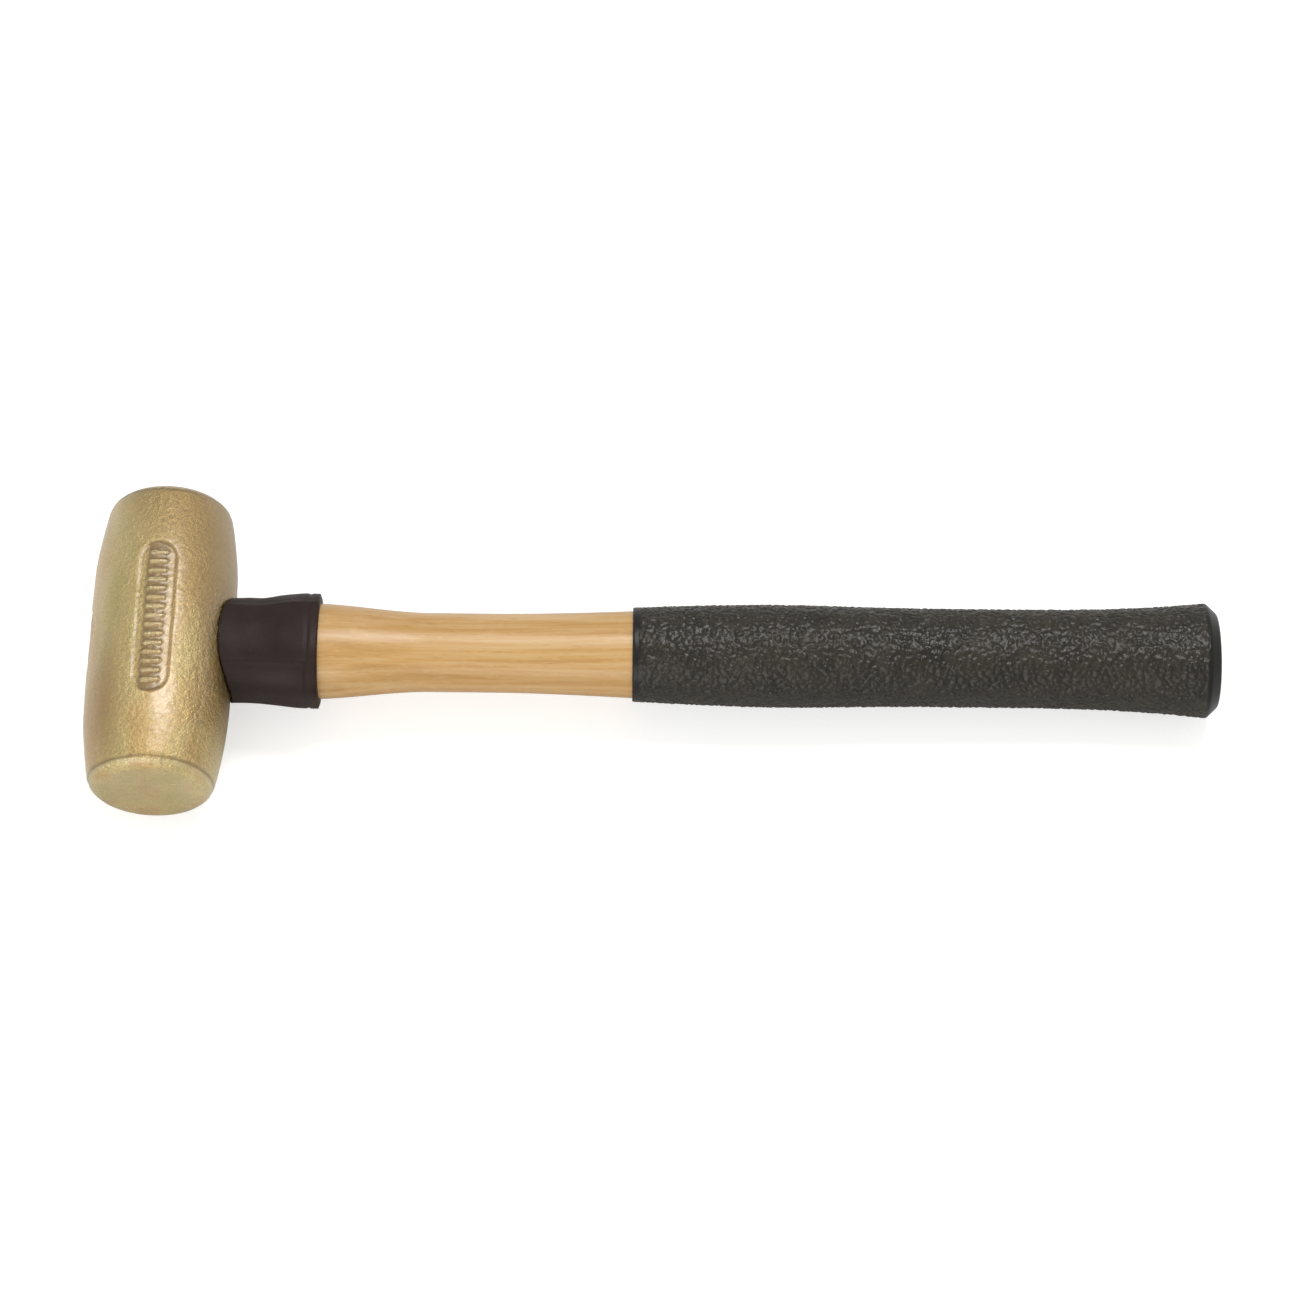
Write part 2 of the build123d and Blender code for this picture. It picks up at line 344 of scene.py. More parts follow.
def tint(red, green, blue):
    """A colour given as it shows on a screen, 0 to 255, in the linear values of shaders."""
    share = np.array([red, green, blue]) / 255
    return (*np.where(share > 0.04045, ((share + 0.055) / 1.055) ** 2.4, share / 12.92), 1)


def blend(tree, factor, first, second):
    """Two colours mixed by a factor."""
    return node(tree, "ShaderNodeMix", {0: factor, 6: first, 7: second}, data_type="RGBA").outputs[2]


def sum_up(tree, first, second, how="ADD", limit=False):
    """Two values joined by a sum, product or other operation."""
    return node(tree, "ShaderNodeMath", {0: first, 1: second}, operation=how, use_clamp=limit).outputs[0]


def scaled(tree, value, factor, limit=False):
    """A value times a factor, held between 0 and 1 where limited."""
    return sum_up(tree, value, factor, "MULTIPLY", limit)


def remap(tree, value, start, end, low=0.0, high=1.0, how="LINEAR"):
    """The value's span from start to end stretched over low to high, and held beyond it."""
    return node(tree, "ShaderNodeMapRange", {
        "Value": value, "From Min": start, "From Max": end, "To Min": low, "To Max": high,
    }, interpolation_type=how).outputs[0]


def mapped(tree, vector, **how):
    """Coordinates moved, turned and scaled."""
    return node(tree, "ShaderNodeMapping", {"Vector": vector, **how}).outputs[0]


def combined(tree, operation, first, second=(0.0, 0.0, 0.0)):
    """Two vectors joined by an operation. A length or a dot product comes out as a value."""
    made = node(tree, "ShaderNodeVectorMath", {0: first, 1: second}, operation=operation)
    return made.outputs["Value" if operation in ("LENGTH", "DOT_PRODUCT") else "Vector"]


def noise(tree, vector, scale, detail, roughness=0.5, output="Fac"):
    """Fractal noise with about scale cells to the coordinate's unit."""
    return node(tree, "ShaderNodeTexNoise", {
        "Vector": vector, "Scale": scale, "Detail": detail, "Roughness": roughness,
    }).outputs[output]


def relief(tree, height, strength, depth, **under):
    """A normal bumped by a height, which is depth metres deep where it runs from 0 to 1."""
    return node(tree, "ShaderNodeBump", {
        "Height": height, "Strength": strength, "Distance": depth, **under,
    }).outputs[0]


def link_surface(tree, shader, colour, roughness, normal):
    """Feeds a colour, a roughness and a bumped normal to the shader."""
    for label, socket in (("Base Color", colour), ("Roughness", roughness), ("Normal", normal)):
        tree.links.new(socket, shader.inputs[label])


def group(name, inputs, outputs):
    """An empty shader group with named value sockets; colours and vectors are named by type."""
    tree = bpy.data.node_groups.new(name, "ShaderNodeTree")
    kinds = {"value": "NodeSocketFloat", "vector": "NodeSocketVector", "colour": "NodeSocketColor"}
    for direction, sockets in (("INPUT", inputs), ("OUTPUT", outputs)):
        for label, kind in sockets.items():
            tree.interface.new_socket(label, in_out=direction, socket_type=kinds[kind])
    return tree, tree.nodes.new("NodeGroupInput").outputs, tree.nodes.new("NodeGroupOutput").inputs


def surface_grain_group():
    """Fine grain of a cast, moulded or ground surface: a coarse and a fine noise summed into a
    height, a slow noise that says where the surface is duller, and the fine noise's peaks."""
    tree, given, out = group(
        "surface grain",
        {"Vector": "vector", "Grain per metre": "value", "Patch per metre": "value"},
        {"Height": "value", "Patches": "value", "Speckle": "value"},
    )
    coarse = noise(tree, given["Vector"], given["Grain per metre"], 3.0, 0.6)
    fine = noise(tree, given["Vector"], scaled(tree, given["Grain per metre"], 3.1), 2.0, 0.7)
    slow = noise(tree, given["Vector"], given["Patch per metre"], 4.0, 0.55)
    height = sum_up(tree, coarse, scaled(tree, fine, 0.45))
    patches = remap(tree, slow, 0.35, 0.65)
    speckle = remap(tree, fine, 0.42, 0.66)
    tree.links.new(height, out["Height"])
    tree.links.new(patches, out["Patches"])
    tree.links.new(speckle, out["Speckle"])
    return tree


surface_grain = surface_grain_group()


def grained(tree, place, grain_per_metre, patch_per_metre):
    """The outputs of the surface grain at a place, as Height, Patches and Speckle."""
    return node(tree, "ShaderNodeGroup", {
        "Vector": place, "Grain per metre": grain_per_metre, "Patch per metre": patch_per_metre,
    }, node_tree=surface_grain).outputs


def brass_material():
    """Blasted brass under a clear film: olive-gold with warmer patches drawn out along the
    barrel, darker and browner towards the handle and the far face as painted shade, browner in
    one stain, tarnished in the panel with painted shade among its ribs, on its walls and in the
    ring's groove, brighter where the ribs are rubbed, and with a painted highlight along each
    face's rim."""
    material, tree, shader = finish(
        "cast_brass", Metallic=1.0, IOR=1.5, Coat_Weight=1.0, Coat_Roughness=0.30, Coat_IOR=1.78)
    place = node(tree, "ShaderNodeTexCoord").outputs["Object"]
    grain = grained(tree, place, 640.0, 90.0)
    drawn = mapped(tree, place, Scale=(1.0, 0.3, 1.0))
    warmth = noise(tree, drawn, 80.0, 3.0)
    cloud = noise(tree, drawn, 33.0, 4.0, 0.6)
    body = ramp(tree, warmth, (0.38, tint(220, 204, 130)), (0.50, tint(237, 212, 145)),
                (0.61, tint(223, 180, 112)))
    lighter = ramp(tree, cloud, (0.40, tint(242, 224, 162)), (0.60, tint(208, 182, 114)))
    colour = blend(tree, 0.45, body, lighter)
    # painted shade: darker and browner towards the handle and the far face
    shade_slope = along * SHADE_ALONG + strike * SHADE_ACROSS
    into_shade = combined(tree, "DOT_PRODUCT", place, shade_slope)
    into_shade = sum_up(tree, into_shade, float(shade_slope @ head_middle), "SUBTRACT")
    darkened = remap(tree, into_shade, -0.1, 0.95, 0.0, 0.95, "SMOOTHSTEP")
    colour = blend(tree, darkened, colour, tint(182, 149, 88))
    stain_at = head_middle + np.array(STAIN_AT) * MM @ hammer_axes
    from_stain = combined(tree, "SUBTRACT", place, stain_at)
    from_stain = combined(tree, "MULTIPLY", from_stain, 1 / (np.array(STAIN_SIZE) * MM))
    reach = sum_up(tree, combined(tree, "LENGTH", from_stain), scaled(tree, cloud, 0.8))
    stain = remap(tree, reach, 0.6, 1.8, 0.85, 0.0, "SMOOTHSTEP")
    colour = blend(tree, stain, colour, tint(192, 152, 88))
    worn = node(tree, "ShaderNodeAttribute", attribute_name="worn").outputs["Fac"]
    dark = node(tree, "ShaderNodeAttribute", attribute_name="tarnished").outputs["Fac"]
    # darker by tarnish and painted shade in the panel, and by painted shade on its walls and in the
    # ring's groove
    colour = blend(tree, scaled(tree, dark, 0.85, limit=True), colour, tint(130, 100, 52))
    colour = blend(tree, scaled(tree, grain["Speckle"], 0.42), colour, tint(146, 116, 64))
    # paler on rubbed ribs, and a painted highlight along each face's rim
    colour = blend(tree, scaled(tree, worn, 0.5), colour, tint(226, 210, 160))
    dull = sum_up(tree, remap(tree, grain["Patches"], 0.0, 1.0, 0.36, 0.49), scaled(tree, worn, -0.12))
    link_surface(tree, shader, colour, dull, relief(tree, grain["Height"], 1.0, 0.00065))
    return material


rings, worn, tarnished = head_rings()
head = skin("head_casting", rings, worn=worn, tarnished=tarnished)
cut(head, skin("eye_cutter", eye_rings()), crease=35)
head.data.materials.append(brass_material())
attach(head, "root")
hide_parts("head")


# Handle -----------------------------------------------------------------------------------
# One length of straight-grained hickory, turned to an oval and lacquered. It swells under the
# guard, narrows to the neck and swells again under the grip. Its tenon fills the head's eye and
# is sanded to the barrel's curve, then split by the wedges.

OVERALL_LENGTH = 368.3
OVAL = 0.84
ROOT_AT = 31.0
ROOT_HALF = 14.6
FLARE_AT = 48.0
FLARE_HALF = 16.25
NECK_PAST_FLARE = 40.0
NECK_BEFORE_GRIP = 46.0
NECK_HALF = 13.4
PALM_PAST_GRIP_START = 48.0
PALM_HALF = 16.2
WAIST_PAST_PALM = 48.0
WAIST_HALF = 15.5
BUTT_HALF = 18.3
BUTT_FLARE_LENGTH = 66.0
BUTT_FLARE_CURVE = 2.6
DISH_RINGS = 22
WOOD_RINGS = 210
HANDLE_STEPS = 144
CROWN_LEVEL_SHARE = 0.78
CROWN_ROUNDING = 0.35
SHOULDER_PAST_BARREL = 0.3
BUTT_CHAMFER_LENGTH = 3.7
BUTT_CHAMFER_DEPTH = 3.6
GRIP_LENGTH = 190.7
GRIP_END_WALL = 1.2
CROWN_RECESS = 0.25
TENON_GAP = 0.05
butt_at = OVERALL_LENGTH - barrel_radius
grip_at = butt_at - GRIP_LENGTH
ring_at = butt_at - BUTT_CHAMFER_LENGTH


def wood_half(place):
    """The wood's half width along the handle: each swell and waist eases in over its stretch,
    and the butt flares by a power of the share of its length."""
    palm_at = grip_at + PALM_PAST_GRIP_START
    flare_share = np.clip(1 - (ring_at - place) / BUTT_FLARE_LENGTH, 0, 1)
    half = (
        ROOT_HALF
        + (FLARE_HALF - ROOT_HALF) * ease(place, ROOT_AT, FLARE_AT)
        + (NECK_HALF - FLARE_HALF) * ease(place, FLARE_AT, FLARE_AT + NECK_PAST_FLARE)
        + (PALM_HALF - NECK_HALF) * ease(place, grip_at - NECK_BEFORE_GRIP, palm_at)
        + (WAIST_HALF - PALM_HALF) * ease(place, palm_at, palm_at + WAIST_PAST_PALM)
        + (BUTT_HALF - WAIST_HALF) * flare_share**BUTT_FLARE_CURVE
    )
    return half - BUTT_CHAMFER_DEPTH * np.clip((place - ring_at) / BUTT_CHAMFER_LENGTH, 0, 1)


def handle_rings():
    """Ovals along the handle. The crown end is a dish of the barrel's curve: its rings shrink
    towards the middle, and sink below the barrel by the recess. The next rings pass from that
    curve to flat sections, and the tenon steps out to the full wood where the barrel ends."""
    angle = np.linspace(0, 2 * np.pi, HANDLE_STEPS, endpoint=False)
    crown_radius = barrel_radius - CROWN_RECESS
    shoulder = barrel_radius + SHOULDER_PAST_BARREL
    level_from = -barrel_radius * CROWN_LEVEL_SHARE
    dish_share = np.linspace(0.04, 1, DISH_RINGS)
    wall = np.concatenate([
        np.linspace(-crown_radius, level_from, 8)[1:],
        np.linspace(level_from, shoulder, 22)[1:],
        np.linspace(shoulder + 0.6, ring_at, WOOD_RINGS),
        [butt_at - GRIP_END_WALL],
    ])
    half_width, half_thickness = eye_half(wall)
    wood = wood_half(wall)
    full = ease(wall, shoulder - 0.1, shoulder + 0.5)
    half_width = half_width - TENON_GAP + (wood - half_width + TENON_GAP) * full
    half_thickness = half_thickness - TENON_GAP + (wood * OVAL - half_thickness + TENON_GAP) * full
    share = np.concatenate([dish_share, np.ones(len(wall))])
    width = np.concatenate([np.full(DISH_RINGS, half_width[0]), half_width])
    thickness = np.concatenate([np.full(DISH_RINGS, half_thickness[0]), half_thickness])
    strike_part = (share * width)[:, None] * np.cos(angle)
    upper_part = (share * thickness)[:, None] * np.sin(angle)
    dish = -np.sqrt(np.maximum(crown_radius**2 - upper_part**2, 0))
    rounding = CROWN_ROUNDING * ease(share, 0.93, 1.0)[:, None]
    level = np.concatenate([np.full(DISH_RINGS, -crown_radius), wall])[:, None] + 0 * angle
    bent = (1 - ease(level, -crown_radius, level_from)) * (level < level_from + 1e-9)
    place = level + bent * (dish + crown_radius) + rounding * bent
    closing = np.linspace(0.85, 0.1, 5)[:, None]
    end = place[-1:] + 0 * closing
    strike_part = np.concatenate([strike_part, closing * strike_part[-1:]])
    upper_part = np.concatenate([upper_part, closing * upper_part[-1:]])
    return np.stack([np.concatenate([place, end]), strike_part, upper_part], -1)


def wedge_block(view, offset, length, thick, thin, width, grow):
    """A cutter in the shape of a driven wedge: a prism that narrows along the handle from the
    crown to its tip. The view says which way it is thin: 1 strikewise, 2 upwards."""
    crown = -barrel_radius - EYE_OVERRUN
    tip = length - barrel_radius + grow
    ends = [(crown, thick / 2 + grow), (tip, thin / 2 + grow)]
    other = width / 2 + grow
    rings = []
    for place, half in ends:
        ring = np.zeros((4, 3))
        ring[:, 0] = place
        ring[:, view] = offset + half * np.array([-1, 1, 1, -1])
        ring[:, 3 - view] = other * np.array([-1, -1, 1, 1])
        rings.append(ring)
    rings = np.array(rings)
    return rings if view == 1 else rings[:, ::-1]


def hickory_group():
    """Wood grain along the first axis: slow bands of growth, long streaks, short open pores and
    pale flecks, as masks from 0 to 1."""
    tree, given, out = group(
        "hickory grain",
        {"Vector": "vector"},
        {"Growth": "value", "Streaks": "value", "Pores": "value", "Flecks": "value"},
    )
    shake = noise(tree, mapped(tree, given["Vector"], Scale=(9.0, 60.0, 60.0)), 1.0, 2.0, output="Color")
    shake = combined(tree, "SUBTRACT", shake, (0.5, 0.5, 0.5))
    pushed = combined(tree, "MULTIPLY", shake, (0.0, 0.006, 0.006))
    bent = combined(tree, "ADD", given["Vector"], pushed)
    away = mapped(tree, bent, Location=(0.0, 0.012, 0.055), Rotation=(0.0, 0.006, 0.004))
    growth = node(tree, "ShaderNodeTexWave", {
        "Vector": away, "Scale": 40.0, "Distortion": 1.0, "Detail": 2.0, "Detail Scale": 0.6,
    }, wave_type="RINGS", rings_direction="X", wave_profile="SIN")
    streak = noise(tree, mapped(tree, bent, Scale=(14.0, 520.0, 520.0)), 1.0, 4.0, 0.6)
    pore = noise(tree, mapped(tree, bent, Scale=(190.0, 2600.0, 2600.0)), 1.0, 1.0)
    aslant = mapped(tree, given["Vector"], Scale=(240.0, 900.0, 900.0), Rotation=(0.0, 0.0, 0.25))
    fleck = noise(tree, aslant, 1.0, 1.0)
    tree.links.new(growth.outputs["Fac"], out["Growth"])
    tree.links.new(streak, out["Streaks"])
    tree.links.new(remap(tree, pore, 0.63, 0.74), out["Pores"])
    tree.links.new(remap(tree, fleck, 0.60, 0.72), out["Flecks"])
    return tree


hickory_grain = hickory_group()


def wood_material(name, pale, middle, deep, coat):
    """Hickory, lacquered where it has a coat: pale wood with honey streaks, darker pores and a
    few pale flecks."""
    material, tree, shader = finish(
        name, IOR=1.5, Specular_IOR_Level=0.1, Coat_Weight=coat, Coat_Roughness=0.27)
    place = node(tree, "ShaderNodeTexCoord").outputs["Object"]
    grain = node(tree, "ShaderNodeGroup", {"Vector": place}, node_tree=hickory_grain).outputs
    streaks = ramp(tree, grain["Streaks"], (0.30, pale), (0.52, middle), (0.74, deep))
    colour = blend(tree, scaled(tree, grain["Growth"], 0.3), streaks, deep)
    colour = blend(tree, scaled(tree, grain["Flecks"], 0.35), colour, pale)
    colour = blend(tree, scaled(tree, grain["Pores"], 0.25), colour, tint(140, 96, 56))
    rough = remap(tree, grain["Streaks"], 0.0, 1.0, 0.36, 0.50)
    height = sum_up(tree, grain["Streaks"], scaled(tree, grain["Pores"], -0.8))
    link_surface(tree, shader, colour, rough, relief(tree, height, 0.25, 0.0002))
    return material


WOOD_WEDGE = dict(length=32.0, thick=3.0, thin=1.5, width=26.0)
STEEL_WEDGE = dict(length=12.0, thick=3.0, thin=0.6, width=14.0)
STEEL_WEDGE_SPACING = 12.0
WEDGE_GAP = 0.02
handle = skin("hickory_handle", handle_rings(), crease=50)
cut(
    handle,
    skin("kerf_cutter", wedge_block(2, 0, grow=WEDGE_GAP, **WOOD_WEDGE)),
    *[
        skin("slot_cutter", wedge_block(1, side * STEEL_WEDGE_SPACING / 2, grow=WEDGE_GAP, **STEEL_WEDGE))
        for side in (-1, 1)
    ],
    crease=50,
)
handle.data.materials.append(
    wood_material("hickory", tint(221, 184, 129), tint(209, 164, 99), tint(188, 140, 78), 1.0)
)
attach(handle, "root")
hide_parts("handle")


# Wedges -----------------------------------------------------------------------------------
# A wooden wedge driven into the tenon's saw kerf, and two steel ones driven across it. All
# three are sanded flush with the tenon, so only their ends show in the head's crown.

def steel_material():
    """Ground mild steel: grey, finely grained and browned a little in patches."""
    material, tree, shader = finish("wedge_steel", Metallic=1.0, IOR=2.5)
    place = node(tree, "ShaderNodeTexCoord").outputs["Object"]
    grain = grained(tree, place, 1400.0, 300.0)
    darkened = scaled(tree, grain["Patches"], 0.4)
    colour = blend(tree, darkened, tint(168, 168, 166), tint(120, 104, 90))
    rough = remap(tree, grain["Speckle"], 0.0, 1.0, 0.32, 0.50)
    link_surface(tree, shader, colour, rough, relief(tree, grain["Height"], 0.4, 0.0001))
    return material


def refinish(name, material):
    """Gives a carried-over CAD node a new material in its own slots."""
    mesh = frame["nodes"][name].data
    mesh.materials.clear()
    mesh.materials.append(material)


refinish("wood_wedge", wood_material(
    "wedge_wood", tint(214, 180, 130), tint(190, 148, 98), tint(150, 106, 64), 0.0))
refinish("steel_wedges", steel_material())


# Guard ------------------------------------------------------------------------------------
# A moulded rubber sleeve, pushed up the handle against the barrel, which its end saddles. It
# takes the blows that miss. Its section is nearer a rounded box than an oval, and its handle
# end has a shallow groove and a rounded lip.

GUARD_WALL = 3.1
GUARD_END_AT = 52.0
GUARD_SQUARE = 2.3
GUARD_SIDE_SHARE = 0.96
GUARD_TOP_SHARE = 0.36
SEAT_GAP = 0.15
GUARD_CORNER_AT = 0.58
GUARD_CORNER_RISE = 0.22
GUARD_CORNER_WIDTH = 0.8
GUARD_WAVE_HEIGHT = 0.06
GUARD_WAVE = 9
GUARD_STEPS = 256
GUARD_STATIONS = 70
SADDLE_ROUND = 0.9
LIP_ROUND = 1.3
LIP_WIDTH = 3.4
LIP_GROOVE = 0.35
LIP_GROOVE_WIDTH = 0.45
SLEEVE_GAP = 0.05


def barrel_side(strike_place, height):
    """How far along the handle the barrel's surface lies, over a strike place and a height:
    the square root of the barrel's radius there squared, less the height squared."""
    past = np.maximum(np.abs(strike_place) - BARREL_STRAIGHT / 2, 0)
    radius = barrel_radius - taper_arc + np.sqrt(taper_arc**2 - past**2)
    return np.sqrt(radius**2 - height**2)


def guard_rings():
    """A closed section of the wall, carried round the handle. The section runs from the saddle
    out along the skin to the lip, round it, and back along the wood. Across the handle the skin
    is a superellipse |y/a|^n + |z/b|^n = 1, and the bore is an ellipse. A mask of the lip goes
    with it."""
    angle = np.linspace(0, 2 * np.pi, GUARD_STEPS, endpoint=False)
    cosine, sine = np.cos(angle), np.sin(angle)
    # the section as (share of the way from saddle to end, shift along the handle, height on the wall)
    corner = np.linspace(0, np.pi / 2, 8)
    saddle_top, lip_top = GUARD_WALL - SADDLE_ROUND, GUARD_WALL - LIP_ROUND
    climb = [(0.0, 0.0, height) for height in np.linspace(0, saddle_top, 6)]
    first = [(0.0, SADDLE_ROUND * (1 - np.cos(a)), saddle_top + SADDLE_ROUND * np.sin(a))
             for a in corner[1:]]
    run = [(share, 0.0, GUARD_WALL) for share in np.linspace(0, 1, GUARD_STATIONS)[1:-1]]
    last = [(1.0, -LIP_ROUND * (1 - np.sin(a)), lip_top + LIP_ROUND * np.cos(a)) for a in corner]
    drop = [(1.0, 0.0, height) for height in np.linspace(lip_top, 0, 5)[1:]]
    bore = [(share, 0.0, 0.0) for share in np.linspace(1, 0, 24)[1:-1]]
    section = np.array(climb + first + run + last + drop + bore)
    share, shift, height = section[:, :1], section[:, 1:2], section[:, 2:]
    on_wall = height / GUARD_WALL
    # the saddle's place depends on where the wall meets the barrel, so it is found in three passes
    place = 20 + (GUARD_END_AT - 20) * share + 0 * angle
    for _ in range(3):
        half = wood_half(np.maximum(place, ROOT_AT))
        squareness = 2 + (GUARD_SQUARE - 2) * on_wall
        shape = (np.abs(cosine) ** squareness + np.abs(sine) ** squareness) ** (-1 / squareness)
        strike_part = (half + SLEEVE_GAP + height * GUARD_SIDE_SHARE) * cosine * shape
        upper_part = (half * OVAL + SLEEVE_GAP + height * GUARD_TOP_SHARE) * sine * shape
        saddle = barrel_side(strike_part, np.clip(upper_part, -18.5, 18.5)) + SEAT_GAP
        start = saddle + np.where(share < 0.5, shift, 0)
        place = start + (GUARD_END_AT - start) * share + np.where(share >= 0.5, shift, 0)
    rings = np.stack([place, strike_part, upper_part], -1)
    lip_from = GUARD_END_AT - LIP_WIDTH
    groove = np.exp(-((place - lip_from) / LIP_GROOVE_WIDTH) ** 2) * on_wall**8
    widest = np.abs(strike_part).max(-1, keepdims=True)
    off_corner = (np.abs(strike_part) / widest - GUARD_CORNER_AT) * widest
    corner_line = np.exp(-((off_corner / GUARD_CORNER_WIDTH) ** 2)) * on_wall**4
    raised = GUARD_WAVE_HEIGHT * uneven(rings, GUARD_WAVE, 5) * on_wall**2
    raised = raised + GUARD_CORNER_RISE * corner_line - LIP_GROOVE * groove
    radial = np.stack([np.zeros_like(place), strike_part, upper_part], -1)
    radial /= np.linalg.norm(radial, axis=-1, keepdims=True)
    return rings + radial * raised[..., None], ease(place, lip_from, lip_from + 0.8)


def rubber_material(name, tints, grain_per_metre, grain_depth, roughness, shine, cobble=0.0):
    """Moulded rubber in three tints: its own, one where dust has caught, which on raised places
    is a painted highlight, and one for plain places, which on the grip's chamfer is painted
    shade. It has a fine grain, and domes as well where cobble gives how many there are to a
    metre."""
    own, dust_and_highlight_tint, plain_tint = tints
    material, tree, shader = finish(name, IOR=1.5, Specular_IOR_Level=shine)
    place = node(tree, "ShaderNodeTexCoord").outputs["Object"]
    grain = grained(tree, place, grain_per_metre, 110.0)
    raised = node(tree, "ShaderNodeAttribute", attribute_name="raised").outputs["Fac"]
    plain = node(tree, "ShaderNodeAttribute", attribute_name="plain").outputs["Fac"]
    # dust in patches and specks, and a painted highlight on raised places: the pebbles' tops and the line
    # before the butt's chamfer
    dust_and_highlight = sum_up(tree, scaled(tree, grain["Patches"], 0.30), scaled(tree, grain["Speckle"], 0.25))
    dust_and_highlight = sum_up(tree, dust_and_highlight, scaled(tree, raised, 0.45), limit=True)
    colour = blend(tree, scaled(tree, plain, 0.85), blend(tree, dust_and_highlight, own, dust_and_highlight_tint), plain_tint)
    rough = remap(tree, grain["Patches"], 0.0, 1.0, *roughness)
    normal = relief(tree, grain["Height"], 0.5, grain_depth)
    if cobble:
        cells = node(tree, "ShaderNodeTexVoronoi", {"Vector": place, "Scale": cobble},
                     feature="SMOOTH_F1")
        domes = sum_up(tree, 1.0, scaled(tree, cells.outputs["Distance"], 1.2), "SUBTRACT")
        domes = sum_up(tree, domes, sum_up(tree, 1.0, plain, "SUBTRACT"), "MULTIPLY")
        normal = relief(tree, domes, 0.9, 0.0007, Normal=normal)
    link_surface(tree, shader, colour, rough, normal)
    return material


rings, on_lip = guard_rings()
guard = skin("rubber_guard", rings, ends="joined", crease=60, plain=on_lip)
guard_tints = (tint(40, 27, 25), tint(52, 43, 38), tint(46, 31, 25))
guard.data.materials.append(
    rubber_material("guard_rubber", guard_tints, 900.0, 0.00012, (0.40, 0.54), 0.22)
)
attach(guard, "root")
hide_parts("guard")


# Grip -------------------------------------------------------------------------------------
# A rubber sleeve pulled over the butt half of the handle, moulded with a pebbled skin, a narrow
# plain band at its open end, and a closed, chamfered end over the butt.

GRIP_COVER = 1.2
BAND_WIDTH = 2.6
PEBBLE_SIZE = 2.1
SMALL_PEBBLE_SIZE = PEBBLE_SIZE * 0.62
SMALL_PEBBLE_SHARE = 0.3
PEBBLE_HEIGHT = 0.45
PEBBLES_SUNK = 0.7
PEBBLE_COLUMNS = 46
GRIP_STEPS = 216
GRIP_PITCH = 0.49
GRIP_EDGE_ROUND = 0.5
BUTT_EDGE_SOFTENING = 0.9
# a painted highlight: a thin light line along the grip's skin just before the chamfer
BUTT_HIGHLIGHT_BEFORE_RING = 1.3
BUTT_HIGHLIGHT_WIDTH = 0.5


def pebbles(run, girth, size, seed):
    """A pebbled skin as a height from 0 to 1: cells around scattered points, high in their
    middles and low where the distances to the two nearest points are alike. The run is along
    the handle and the girth is round it, as a share of a turn, which the cells close over."""
    random = np.random.default_rng(seed)
    rows = int(run.max() / size) + 4
    scatter = random.uniform(0.08, 0.92, (rows, PEBBLE_COLUMNS, 3))
    u, v = run / size + 1.5, girth * PEBBLE_COLUMNS
    row, column = np.floor(u).astype(int), np.floor(v).astype(int)
    first, second, lift = np.full(u.shape, 9.0), np.full(u.shape, 9.0), np.zeros(u.shape)
    for row_step in (-1, 0, 1):
        for column_step in (-1, 0, 1):
            cell = scatter[(row + row_step) % rows, (column + column_step) % PEBBLE_COLUMNS]
            gap = np.hypot(row + row_step + cell[..., 0] - u, column + column_step + cell[..., 1] - v)
            nearer = gap < first
            second = np.where(nearer, first, np.minimum(second, gap))
            lift = np.where(nearer, cell[..., 2], lift)
            first = np.where(nearer, gap, first)
    dome = np.clip(1 - 1.5 * first**2, 0, 1)
    return ease(second - first, 0.0, 0.5) * (0.45 * dome + 0.25 + 0.3 * lift)


